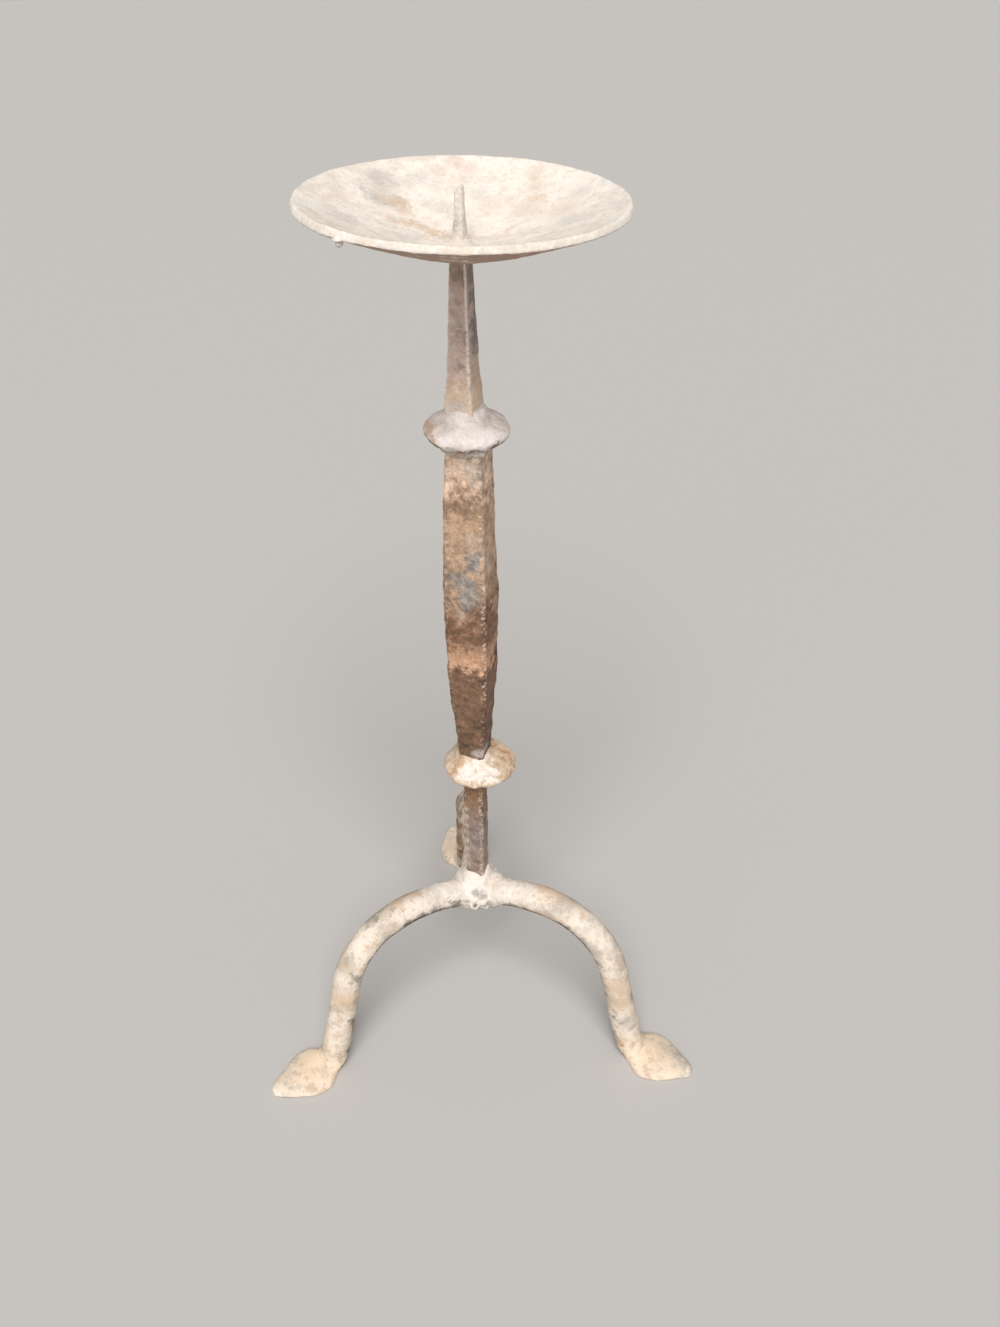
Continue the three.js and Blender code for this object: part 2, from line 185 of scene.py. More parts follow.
def draw_out(piece, start, stations):
    """Extrudes a whole flat outline from station to station.
    A station is its centre, its turn about Y since the last one, and its growth along X, Y and Z."""
    alone(piece)
    bpy.ops.object.mode_set(mode="EDIT")
    bpy.ops.mesh.select_all(action="SELECT")
    here = Vector(start)
    for centre, turn, growth in stations:
        step = Vector(centre) - here
        here = Vector(centre)
        bpy.ops.mesh.extrude_region_move(TRANSFORM_OT_translate={"value": step * MM})
        if turn:
            bpy.ops.transform.rotate(value=turn, orient_axis="Y", center_override=here * MM)
        bpy.ops.transform.resize(value=growth, center_override=here * MM)
    bpy.ops.mesh.select_all(action="SELECT")
    bpy.ops.mesh.normals_make_consistent(inside=False)
    bpy.ops.object.mode_set(mode="OBJECT")


def modify(piece, kind, **settings):
    """Adds one modifier and applies it."""
    alone(piece)
    modifier = piece.modifiers.new(kind.title(), kind)
    for name, value in settings.items():
        setattr(modifier, name, value)
    bpy.ops.object.modifier_apply(modifier=modifier.name)


def dent(piece, kind, size, depth, **settings):
    """Pushes the surface in and out by a pattern of one size, both in mm.
    Clouds give waves, pits or scale by their size, and Voronoi cells the dished marks of a hammer."""
    pattern = bpy.data.textures.new(f"{piece.name} {kind.lower()} {size}", kind)
    pattern.noise_scale = size * MM
    for name, value in settings.items():
        setattr(pattern, name, value)
    modify(piece, "DISPLACE", texture=pattern, texture_coords="LOCAL", strength=depth * MM, mid_level=0.5)


def join(pieces, name):
    """Makes several meshes one object."""
    bpy.ops.object.select_all(action="DESELECT")
    for piece in pieces:
        piece.select_set(True)
    bpy.context.view_layer.objects.active = pieces[0]
    bpy.ops.object.join()
    pieces[0].name = pieces[0].data.name = name
    return pieces[0]


def copied(pattern, name):
    """A copy of a piece with a mesh of its own."""
    alone(pattern)
    bpy.ops.object.duplicate()
    copy = bpy.context.object
    copy.name = copy.data.name = name
    return copy


def moved(piece, way):
    """Moves a piece and puts its new place into its mesh."""
    piece.matrix_world = way @ piece.matrix_world
    alone(piece)
    bpy.ops.object.transform_apply(location=True, rotation=True, scale=True)
    return piece


def fuse(piece, grain, rounds):
    """Welds what overlaps into one skin of even small faces, and eases its corners."""
    modify(piece, "REMESH", mode="VOXEL", voxel_size=grain * MM)
    modify(piece, "SMOOTH", factor=0.5, iterations=rounds)


def cut_below(piece, height):
    """Cuts a piece flat at a height and keeps what is above."""
    alone(piece)
    bpy.ops.object.mode_set(mode="EDIT")
    bpy.ops.mesh.select_all(action="SELECT")
    bpy.ops.mesh.bisect(
        plane_co=(0, 0, height * MM), plane_no=(0, 0, 1), use_fill=True, clear_inner=True, threshold=1e-6)
    bpy.ops.object.mode_set(mode="OBJECT")


def finish_piece(piece, material, slot, *nodes):
    """Shades a piece smooth, dresses it and sets it in the place of the nodes that it stands for."""
    alone(piece)
    bpy.ops.object.shade_smooth()
    piece.data.materials.append(material)
    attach(piece, "root")
    if nodes:
        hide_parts(*nodes)


# Square bars

def square_bar(name, centre, turn, sections, chamfer):
    """A square bar standing on its end, through (height, side) sections, with chamfered long edges."""
    x, y = centre
    low, side = sections[0]
    bpy.ops.mesh.primitive_plane_add(
        size=side * MM, location=(x * MM, y * MM, low * MM), rotation=(0, 0, math.radians(turn)))
    bar = added(name)
    stations = []
    for height, next_side in sections[1:]:
        growth = next_side / side
        stations.append(((x, y, height), 0, (growth, growth, 1)))
        side = next_side
    draw_out(bar, (x, y, low), stations)
    bpy.ops.object.mode_set(mode="EDIT")
    pick(bar, "EDGE", lambda e: abs(e.verts[0].co.z - e.verts[1].co.z) > 0.5 * MM)
    bpy.ops.mesh.bevel(offset=chamfer * MM, segments=1, affect="EDGES")
    bpy.ops.object.mode_set(mode="OBJECT")
    return bar


def shaft_side(height):
    """The swelled shaft's side: one parabola below the belly and another above it."""
    if height < SHAFT_BELLY:
        end, end_side = SHAFT_FOOT, SHAFT_FOOT_SIDE
    else:
        end, end_side = SHAFT_TOP, SHAFT_TOP_SIDE
    share = (height - SHAFT_BELLY) / (end - SHAFT_BELLY)
    return SHAFT_BELLY_SIDE - (SHAFT_BELLY_SIDE - end_side) * share ** 2


def make_shaft():
    """The lower stem, drawn down from the bar, and the swelled shaft above it."""
    axis = AXIS / MM
    sections = [(height, LOWER_STEM_SIDE) for height in (LOWER_STEM_FOOT, 110, LOWER_STEM_TOP)]
    sections += [(height, shaft_side(height)) for height in (
        160.4, 166, 174, 184, 196, 208, 220, SHAFT_BELLY, 250, 262, 274, 284, 294, SHAFT_TOP)]
    shaft = square_bar("forged_shaft", axis.xy, SHAFT_TURN, sections, SHAFT_CHAMFER)
    fuse(shaft, grain=0.5, rounds=2)
    dent(shaft, "CLOUDS", size=24, depth=0.9, noise_depth=1)
    dent(shaft, "VORONOI", size=8, depth=0.7)
    dent(shaft, "CLOUDS", size=4, depth=0.5, noise_depth=2)
    dent(shaft, "CLOUDS", size=1.6, depth=0.28, noise_depth=2)
    return shaft


def make_pricket():
    """Tenon, thick foot, long taper and, above the pan, the square drawn point with its slanted tip."""
    axis = AXIS / MM
    centre = (axis.x + STEM_OFFSET, axis.y)
    tenon = [(300, 7.0), (312, 7.2)]
    foot = [(312.2, 9.7), (316, 10.0), (320.5, 9.7), (325, 8.5)]
    taper = [(338, 7.5), (352, 6.4), (364.9, 5.4), (366, 4.4)]
    point = [(369, 3.6), (372, 3.4), (377, 3.0), (381.5, 2.5), (TIP_HEIGHT, 2.2)]
    stem = square_bar("forged_pricket_stem", centre, STEM_TURN, tenon + foot + taper + point, STEM_CHAMFER)
    bpy.ops.object.mode_set(mode="EDIT")
    pick(stem, "VERT", lambda v: v.co.z > (TIP_HEIGHT - 0.9) * MM and v.co.x < centre[0] * MM)
    bpy.ops.transform.translate(value=(0, 0, -TIP_SLANT * MM))
    bpy.ops.object.mode_set(mode="OBJECT")
    fuse(stem, grain=0.28, rounds=4)
    dent(stem, "CLOUDS", size=11, depth=0.6, noise_depth=1)
    dent(stem, "VORONOI", size=5, depth=0.3)
    dent(stem, "CLOUDS", size=2, depth=0.15, noise_depth=3)
    return stem


# Knops

def make_knop(name, node, lump, foot_side):
    """A flattened ball, hammered lumpy, with coat and scale caked round the foot of the bar on top of it."""
    low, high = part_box(node)
    middle = (low + high) / 2
    radius = (high.x - low.x) / 2 + KNOP_COAT * MM
    half_height = KNOP_FULLNESS * ((high.z - low.z) / 2)
    bpy.ops.mesh.primitive_uv_sphere_add(segments=64, ring_count=32, radius=radius, location=middle)
    knop = stretch(added(name), (1, 1, half_height / radius), middle)
    bpy.ops.mesh.primitive_cone_add(
        vertices=32, radius1=CAKE_FOOT_SHARE * foot_side * MM, radius2=CAKE_TOP_SHARE * foot_side * MM,
        depth=CAKE_HEIGHT * MM, location=(AXIS.x, AXIS.y, high.z + CAKE_LIFT * MM))
    knop = join([knop, added("caked_foot")], name)
    fuse(knop, grain=0.35, rounds=3)
    dent(knop, "CLOUDS", size=9, depth=lump, noise_depth=1)
    dent(knop, "VORONOI", size=4.5, depth=0.8 * lump)
    dent(knop, "CLOUDS", size=1.8, depth=0.45, noise_depth=3)
    return knop


# Drip pan

def pan_skin(along):
    """Radius and height of the pan's inner skin, from the flat's edge at 0 to the rim at 1 or just past it."""
    middle = PAN_FLAT_EDGE.lerp(PAN_BEND, along).lerp(PAN_BEND.lerp(PAN_RIM, along), along)
    way = (PAN_BEND - PAN_FLAT_EDGE).lerp(PAN_RIM - PAN_BEND, along).normalized()
    return middle + PAN_SHEET / 2 * Vector((-way.y, way.x))


def make_pan():
    """The inner skin, drawn in from the rim ring by ring, then thickened to sheet and coat."""
    floor = about_axis(0, 0, PAN_FLOOR)
    past_rim = 1.01
    rings = [pan_skin(past_rim - step / PAN_RINGS) for step in range(PAN_RINGS)]
    rings += [Vector((flat_radius, 0)) for flat_radius in (PAN_FLAT_EDGE.x, 5, 2.2)]
    radius, height = rings[0]
    bpy.ops.mesh.primitive_circle_add(
        vertices=240, radius=radius * MM, location=floor + Vector((0, 0, height * MM)), fill_type="NOTHING")
    pan = added("dished_drip_pan")
    bpy.ops.object.mode_set(mode="EDIT")
    bpy.ops.mesh.select_all(action="SELECT")
    for next_radius, next_height in rings[1:]:
        bpy.ops.mesh.extrude_edges_move(
            TRANSFORM_OT_translate={"value": (0, 0, (next_height - height) * MM)})
        growth = next_radius / radius
        bpy.ops.transform.resize(value=(growth, growth, 1), center_override=floor)
        radius, height = next_radius, next_height
    bpy.ops.mesh.edge_face_add()
    bpy.ops.mesh.select_all(action="SELECT")
    bpy.ops.mesh.normals_make_consistent(inside=False)
    mesh = bmesh.from_edit_mesh(pan.data)
    mesh.faces.ensure_lookup_table()
    if mesh.faces[0].normal.z < 0:
        bpy.ops.mesh.flip_normals()
    bpy.ops.mesh.subdivide(number_cuts=1, smoothness=0)
    bpy.ops.object.mode_set(mode="OBJECT")
    modify(pan, "SOLIDIFY", thickness=(PAN_SHEET + PAN_COAT) * MM, offset=-1, use_even_offset=True)
    modify(
        pan, "BEVEL", width=PAN_RIM_ROUNDING * MM, segments=3, limit_method="ANGLE",
        angle_limit=math.radians(50))
    dent(pan, "CLOUDS", size=34, depth=0.7, noise_depth=1)
    dent(pan, "VORONOI", size=11, depth=0.25)
    dent(pan, "CLOUDS", size=4, depth=0.4, noise_depth=2)
    dent(pan, "CLOUDS", size=1.6, depth=0.2, noise_depth=2)
    return lean(pan)


def lean(piece):
    """Tips a piece with the pan, about the middle of the pan's floor."""
    floor = about_axis(0, 0, PAN_FLOOR)
    side = Matrix.Rotation(math.radians(PAN_LEAN_AZIMUTH), 4, "Z") @ Vector((0, 1, 0))
    turn = Matrix.Rotation(math.radians(PAN_LEAN), 4, side)
    return moved(piece, Matrix.Translation(floor) @ turn @ Matrix.Translation(-floor))


def make_pan_weld():
    """A flare of weld that carries the pricket's root out into the pan's floor."""
    low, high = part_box("pan_weld")
    foot = Vector(((low.x + high.x) / 2, (low.y + high.y) / 2, low.z))
    bpy.ops.mesh.primitive_cone_add(
        vertices=32, radius1=5.0 * MM, radius2=2.2 * MM, depth=1.8 * MM, location=foot)
    flare = added("weld_flare")
    bpy.ops.mesh.primitive_cone_add(
        vertices=32, radius1=3.0 * MM, radius2=2.0 * MM, depth=3.2 * MM,
        location=foot + Vector((0, 0, 0.5)) * MM)
    weld = join([flare, added("weld_neck")], "pricket_root_weld")
    fuse(weld, grain=0.25, rounds=12)
    dent(weld, "CLOUDS", size=3, depth=0.6, noise_depth=1)
    dent(weld, "CLOUDS", size=1.2, depth=0.15, noise_depth=2)
    return weld


def make_drip():
    """A dried drip of the coat, hanging from the rim's outer edge at the front left."""
    outward = Matrix.Rotation(math.radians(DRIP_AZIMUTH), 3, "Z") @ Vector((1, 0, 0))
    top = about_axis(0, 0, DRIP_HEIGHT) + outward * DRIP_REACH * MM
    bpy.ops.mesh.primitive_uv_sphere_add(segments=24, ring_count=16, radius=DRIP_RADIUS * MM, location=top)
    drip = added("dried_drip")
    bpy.ops.object.mode_set(mode="EDIT")
    pick(drip, "VERT", lambda v: v.co.z > top.z + 0.2 * MM)
    bpy.ops.transform.resize(value=(1.6, 1.6, 1), center_override=top)
    bpy.ops.object.mode_set(mode="OBJECT")
    stretch(drip, (1, 1, 1.5), top)
    fuse(drip, grain=0.15, rounds=5)
    dent(drip, "CLOUDS", size=1.5, depth=0.5, noise_depth=1)
    return drip


# Welds

def blob(radius, place):
    """One small ball of weld."""
    bpy.ops.mesh.primitive_ico_sphere_add(subdivisions=3, radius=radius * MM, location=about_axis(*place))
    return added("weld_blob")


def make_collar_weld():
    """Lumps of weld, no two alike, along the corner between the shaft's square head and the knop over it."""
    blobs = []
    turn = Matrix.Rotation(math.radians(SHAFT_TURN), 3, "Z")
    corners = [Vector((-1, -1)), Vector((1, -1)), Vector((1, 1)), Vector((-1, 1))]
    for run, start in enumerate(corners):
        end = corners[(run + 1) % len(corners)]
        for step in range(COLLAR_LUMPS):
            along = (step + 0.5) / COLLAR_LUMPS
            spot = start.lerp(end, along) * COLLAR_HALF
            size = 1.25 + 0.45 * math.sin(3.1 * run + 2.3 * step)
            lift = 0.3 * math.cos(1.7 * run + 2.9 * step)
            blobs.append(blob(size, turn @ Vector((spot.x, spot.y, COLLAR_HEIGHT + lift))))
    weld = join(blobs, "knop_collar_weld")
    fuse(weld, grain=0.3, rounds=4)
    dent(weld, "CLOUDS", size=2, depth=0.5, noise_depth=2)
    return weld


def arch_curve():
    """The radius of a leg's arch between the hub and the crown, and its slope at the hub."""
    run = CROWN_REACH - LEG_START
    radius = (run ** 2 + CROWN_RISE ** 2) / (2 * CROWN_RISE)
    return radius, math.asin(run / radius)


def arch_bar(name, start_radius, end_radius, steps_out):
    """The end of a round bar at the hub, in the leg's own plane, with its place and the stations that take it
    out along the leg's arch for some of its steps."""
    arch_radius, slope = arch_curve()
    hub = (LEG_START, 0, CROWN_HEIGHT - CROWN_RISE)
    bpy.ops.mesh.primitive_circle_add(
        vertices=32, radius=start_radius * MM, fill_type="NGON", location=Vector(hub) * MM,
        rotation=(0, math.pi / 2 - slope, 0))
    bar = added(name)
    stations = []
    radius = start_radius
    for step in range(1, steps_out + 1):
        angle = slope * (1 - step / ARCH_STEPS)
        centre = (
            CROWN_REACH - arch_radius * math.sin(angle), 0,
            CROWN_HEIGHT - arch_radius * (1 - math.cos(angle)))
        next_radius = start_radius + (end_radius - start_radius) * step / steps_out
        growth = next_radius / radius
        radius = next_radius
        stations.append((centre, -slope / ARCH_STEPS, (growth, growth, growth)))
    return bar, hub, stations


def make_hub_weld():
    """One lump between the legs, drawn up the stem and thinning out along each leg, with a small crater."""
    middle = about_axis(0, 0, HUB_HEIGHT)
    bpy.ops.mesh.primitive_uv_sphere_add(segments=48, ring_count=24, radius=HUB_RADIUS * MM, location=middle)
    pieces = [stretch(added("hub_core"), (1, 1, HUB_FLATNESS), middle)]
    bpy.ops.mesh.primitive_cone_add(
        vertices=48, radius1=11.3 * MM, radius2=4.9 * MM, depth=13 * MM, location=about_axis(0, 0, 84.6))
    pieces.append(added("hub_cone"))
    toe_pattern, hub, stations = arch_bar("hub_toe", TOE_START_RADIUS, TOE_END_RADIUS, TOE_STEPS)
    draw_out(toe_pattern, hub, stations)
    slope = arch_curve()[1]
    inward = Vector((-math.cos(slope), 0, -math.sin(slope)))
    bpy.ops.mesh.primitive_cone_add(
        vertices=32, radius1=HEEL_RADIUS * MM, radius2=TOE_START_RADIUS * MM, depth=HEEL_LENGTH * MM,
        location=(Vector(hub) + HEEL_LENGTH / 2 * inward) * MM, rotation=(0, math.pi / 2 - slope, 0))
    toe_pattern = join([toe_pattern, added("toe_heel")], "hub_toe")
    for azimuth in LEG_AZIMUTHS.values():
        turn = Matrix.Rotation(math.radians(azimuth), 4, "Z")
        toe = copied(toe_pattern, "turned_toe")
        pieces.append(moved(toe, Matrix.Translation(about_axis(0, 0, TOE_LIFT)) @ turn))
    bpy.data.objects.remove(toe_pattern)
    lumps = [
        (3.8, (8.6, -1.8, 83.4)), (3.0, (-6.2, -4.2, 82.0)), (2.6, (-7.4, 3.6, 80.5)),
        (3.0, (5.2, 6.4, 81.5)), (2.2, (-4.2, -8.2, 74.4)), (2.4, (-0.9, -8.4, 73.6)),
        (2.2, (3.6, -8.6, 74.2)), (2.0, (6.8, -6.6, 73.6)), (2.4, (2.6, -9.8, 77.8)),
        (1.8, (-1.8, -10.2, 79.4))]
    pieces += [blob(size, place) for size, place in lumps]
    weld = join(pieces, "hub_weld_lump")
    fuse(weld, grain=0.35, rounds=9)
    bpy.ops.mesh.primitive_torus_add(
        major_radius=1.5 * MM, minor_radius=0.8 * MM, major_segments=32, minor_segments=12,
        location=about_axis(-1.2, -11.6, 77.0), rotation=(math.radians(62), 0, 0))
    weld = join([weld, added("weld_crater")], "hub_weld_lump")
    fuse(weld, grain=0.35, rounds=1)
    dent(weld, "CLOUDS", size=6, depth=0.9, noise_depth=1)
    dent(weld, "CLOUDS", size=2, depth=0.5, noise_depth=2)
    return weld


# Legs, made in their own plane, out along X from the stem's axis

def make_leg_bar():
    """The round bar from the hub over the crown and the knee, turned out and flattened at the ankle.
    Returns the ankle's reach too."""
    bar, hub, stations = arch_bar("leg_bar", LEG_HUB_RADIUS, LEG_RADIUS, ARCH_STEPS)
    knee_turn = math.pi / 2 - SHANK_SPLAY
    for step in range(1, KNEE_STEPS + 1):
        angle = knee_turn * step / KNEE_STEPS
        centre = (
            CROWN_REACH + KNEE_RADIUS * math.sin(angle), 0,
            CROWN_HEIGHT - KNEE_RADIUS * (1 - math.cos(angle)))
        stations.append((centre, -knee_turn / KNEE_STEPS, (1, 1, 1)))
    knee_x, _, knee_z = stations[-1][0]
    outward = math.tan(SHANK_SPLAY)
    ankle = knee_x + knee_z * outward
    stations.append(((ankle - ANKLE_HEIGHT * outward, 0, ANKLE_HEIGHT), 0, (1, 1, 1)))
    bend = (
        ankle - ANKLE_HEIGHT * outward + ANKLE_RADIUS * math.cos(SHANK_SPLAY),
        ANKLE_HEIGHT + ANKLE_RADIUS * math.sin(SHANK_SPLAY))
    for step in range(1, ANKLE_STEPS + 1):
        angle = SHANK_SPLAY + ANKLE_TURN * step / ANKLE_STEPS
        centre = (bend[0] - ANKLE_RADIUS * math.cos(angle), 0, bend[1] - ANKLE_RADIUS * math.sin(angle))
        stations.append((centre, ANKLE_TURN / ANKLE_STEPS, ANKLE_FLATTENING))
    draw_out(bar, hub, stations)
    return bar, ankle


def make_foot():
    """A leaf about the ankle, through upright oval sections; what is below the floor is cut off later.
    A section is its distance from the ankle, its half width and its half height."""
    sections = [
        (-3.4, 3.2, 2.6), (-2.2, 5.4, 4.0), (0.0, 6.8, 5.4), (2.4, 8.4, 5.8), (4.6, 10.4, 5.4),
        (7.0, 11.9, 4.7), (9.8, 12.6, 4.2), (13.0, 12.3, 3.8), (17.0, 10.9, 3.4), (21.0, 8.7, 3.0),
        (24.8, 6.3, 2.7), (28.0, 4.3, 2.4), (29.6, 3.1, 2.1), (30.6, 1.8, 1.6)]
    along, half, rise = sections[0]
    start = (along, 0, FOOT_MIDDLE)
    bpy.ops.mesh.primitive_circle_add(
        vertices=32, radius=MM, fill_type="NGON", location=Vector(start) * MM, rotation=(0, math.pi / 2, 0))
    foot = added("leaf_foot")
    stations = [(start, 0, (1, half, rise))]
    for next_along, next_half, next_rise in sections[1:]:
        stations.append(((next_along, 0, FOOT_MIDDLE), 0, (1, next_half / half, next_rise / rise)))
        half, rise = next_half, next_rise
    draw_out(foot, start, stations)
    return foot


def make_leg(bar, foot, ankle, node):
    """A copy of the bar with a copy of the foot, turned to its own azimuth, with its own hammer marks."""
    turned_foot = copied(foot, "turned_foot")
    foot_turn = Matrix.Rotation(math.radians(FOOT_TURNS[node]), 4, "Z")
    moved(turned_foot, Matrix.Translation((ankle * MM, 0, 0)) @ foot_turn)
    leg = join([copied(bar, "turned_bar"), turned_foot], f"forged_{node}")
    fuse(leg, grain=0.5, rounds=9)
    moved(leg, Matrix.Translation(AXIS) @ Matrix.Rotation(math.radians(LEG_AZIMUTHS[node]), 4, "Z"))
    dent(leg, "CLOUDS", size=22, depth=0.9, noise_depth=1)
    dent(leg, "VORONOI", size=8, depth=0.4)
    dent(leg, "CLOUDS", size=4, depth=0.28, noise_depth=2)
    dent(leg, "CLOUDS", size=1.6, depth=0.15, noise_depth=2)
    cut_below(leg, 0)
    return leg


# Finishes

def linear(hex_colour):
    """A colour in sRGB hex as linear red, green, blue and alpha."""
    channels = [int(hex_colour[i:i + 2], 16) / 255 for i in (1, 3, 5)]
    return [c / 12.92 if c <= 0.04045 else ((c + 0.055) / 1.055) ** 2.4 for c in channels] + [1]


def per(size):
    """The noise scale whose features are about this many mm wide."""
    return 1000 / size


def add(tree, kind, sockets, **settings):
    """Adds a node with its settings, and sets or links its inputs."""
    node = tree.nodes.new(kind)
    for name, value in settings.items():
        setattr(node, name, value)
    for key, value in sockets.items():
        if isinstance(value, bpy.types.NodeSocket):
            tree.links.new(value, node.inputs[key])
        else:
            node.inputs[key].default_value = value
    return node


def new_material(name):
    """A material with nothing in it yet, and its tree of nodes."""
    material = bpy.data.materials.new(name)
    material.use_nodes = True
    material.node_tree.nodes.clear()
    return material, material.node_tree


def lay_marks(tree, colour, place, ragged, marks):
    """Lays soft, ragged marks over a colour.
    A mark is its tint, its strength, and spots about the stem's axis with their reach, in mm. The noise, about
    a half on average, moves a spot's edge in and out by about its reach."""
    for tint, strength, spots in marks:
        for x, y, z, reach in spots:
            away = add(tree, "ShaderNodeVectorMath", {
                0: place, 1: about_axis(x, y, z)}, operation="DISTANCE").outputs["Value"]
            away = add(tree, "ShaderNodeMath", {
                0: ragged, 1: 9 * reach * MM, 2: away}, operation="MULTIPLY_ADD").outputs[0]
            inside = add(tree, "ShaderNodeMapRange", {
                "Value": away, "From Min": 6.1 * reach * MM, "From Max": 4.8 * reach * MM, "To Max": strength},
                interpolation_type="SMOOTHSTEP").outputs["Result"]
            colour = add(tree, "ShaderNodeMix", {
                0: inside, 6: colour, 7: linear(tint)}, data_type="RGBA").outputs[2]
    return colour


def between(tree, height, low, high, blur):
    """A share that is full between two heights in mm and fades out beyond them."""
    above = add(tree, "ShaderNodeMapRange", {
        "Value": height, "From Min": (low - blur) * MM, "From Max": (low + blur) * MM}).outputs["Result"]
    below = add(tree, "ShaderNodeMapRange", {
        "Value": height, "From Min": (high + blur) * MM, "From Max": (high - blur) * MM}).outputs["Result"]
    return add(tree, "ShaderNodeMath", {0: above, 1: below}, operation="MULTIPLY").outputs[0]


def limewashed(name, coat, stain, smudge, bare, clouding, cover, lie, painted_underside_shade, marks=()):
    """Forged iron under old limewash: a chalky coat, clouded with stains and smudges, and worn through in
    ragged flakes to dull rust between two bare tones. Clouding is how strong the stains are, cover how much of
    the coat is left, lie how much better it kept where it faces up, and painted_underside_shade how much
    painted shade darkens it where it faces down."""
    material, tree = new_material(name)
    place = add(tree, "ShaderNodeTexCoord", {}).outputs["Object"]
    shape = add(tree, "ShaderNodeNewGeometry", {})
    upward = add(tree, "ShaderNodeSeparateXYZ", {0: shape.outputs["Normal"]}).outputs["Z"]
    patches = add(tree, "ShaderNodeTexNoise", {
        "Vector": place, "Scale": per(13), "Detail": 8, "Roughness": 0.66}).outputs["Fac"]
    flakes = add(tree, "ShaderNodeTexNoise", {
        "Vector": place, "Scale": per(2.8), "Detail": 6, "Roughness": 0.7}).outputs["Fac"]
    # The coat's real grit is about 0.2 mm, too fine to show, so it is drawn coarser
    grit = add(tree, "ShaderNodeTexNoise", {
        "Vector": place, "Scale": per(0.8), "Detail": 3, "Roughness": 0.6}).outputs["Fac"]
    clouds = add(tree, "ShaderNodeTexNoise", {
        "Vector": place, "Scale": per(8), "Detail": 9, "Roughness": 0.7, "Distortion": 0.15}).outputs["Fac"]
    smears = add(tree, "ShaderNodeTexNoise", {
        "Vector": place, "Scale": per(17), "Detail": 8, "Roughness": 0.66, "Distortion": 0.2}).outputs["Fac"]
    ragged = add(tree, "ShaderNodeMix", {0: 0.35, 2: clouds, 3: flakes}, data_type="FLOAT").outputs[0]

    # Where the coat has held on
    hold = add(tree, "ShaderNodeMath", {0: upward, 1: lie, 2: patches}, operation="MULTIPLY_ADD").outputs[0]
    hold = add(tree, "ShaderNodeMath", {0: flakes, 1: 0.8, 2: hold}, operation="MULTIPLY_ADD").outputs[0]
    covered = add(tree, "ShaderNodeMapRange", {
        "Value": hold, "From Min": 0.86 - cover, "From Max": 0.98 - cover},
        interpolation_type="SMOOTHSTEP").outputs["Result"]

    # The coat's colour, with its stains, smudges and marks, and painted shade where it faces down
    stained = add(tree, "ShaderNodeMapRange", {
        "Value": ragged, "From Min": 0.46, "From Max": 0.6, "To Max": clouding},
        interpolation_type="SMOOTHSTEP").outputs["Result"]
    smeared = add(tree, "ShaderNodeMapRange", {
        "Value": smears, "From Min": 0.5, "From Max": 0.66, "To Max": clouding},
        interpolation_type="SMOOTHSTEP").outputs["Result"]
    chalk = add(tree, "ShaderNodeMix", {
        0: stained, 6: linear(coat), 7: linear(stain)}, data_type="RGBA").outputs[2]
    chalk = add(tree, "ShaderNodeMix", {
        0: smeared, 6: chalk, 7: linear(smudge)}, data_type="RGBA").outputs[2]
    chalk = lay_marks(tree, chalk, place, ragged, marks)
    # Painted shade: faces turned down are darkened, standing in for the shade that falls under them
    turned_up = add(tree, "ShaderNodeMath", {
        0: ragged, 1: 1.6, 2: upward}, operation="MULTIPLY_ADD").outputs[0]
    unshaded_share = add(tree, "ShaderNodeMapRange", {
        "Value": turned_up, "From Min": 0.42, "From Max": 0.72, "To Min": 1 - painted_underside_shade}).outputs["Result"]
    chalk = add(tree, "ShaderNodeVectorMath", {0: chalk, "Scale": unshaded_share}, operation="SCALE").outputs[0]

    # The rust that shows through, and the speckle over both
    rust = add(tree, "ShaderNodeMix", {
        0: flakes, 6: linear(bare[0]), 7: linear(bare[1])}, data_type="RGBA").outputs[2]
    colour = add(tree, "ShaderNodeMix", {0: covered, 6: rust, 7: chalk}, data_type="RGBA").outputs[2]
    speckled = add(tree, "ShaderNodeMapRange", {
        "Value": grit, "From Min": 0.3, "From Max": 0.6, "To Min": 0.88, "To Max": 1.02}).outputs["Result"]
    colour = add(tree, "ShaderNodeVectorMath", {0: colour, "Scale": speckled}, operation="SCALE").outputs[0]

    # Chalk is duller than rust, and neither shines as metal does
    rough = add(tree, "ShaderNodeMapRange", {
        "Value": covered, "To Min": 0.65, "To Max": 0.85}).outputs["Result"]
    relief = add(tree, "ShaderNodeMath", {0: grit, 1: 0.7, 2: covered}, operation="MULTIPLY_ADD").outputs[0]
    bump = add(tree, "ShaderNodeBump", {
        "Strength": 0.6, "Distance": 0.2 * MM, "Height": relief}).outputs["Normal"]
    skin = add(tree, "ShaderNodeBsdfPrincipled", {
        "Base Color": colour, "Roughness": rough, "Metallic": 0.0, "Normal": bump})
    add(tree, "ShaderNodeOutputMaterial", {"Surface": skin.outputs["BSDF"]})
    return material


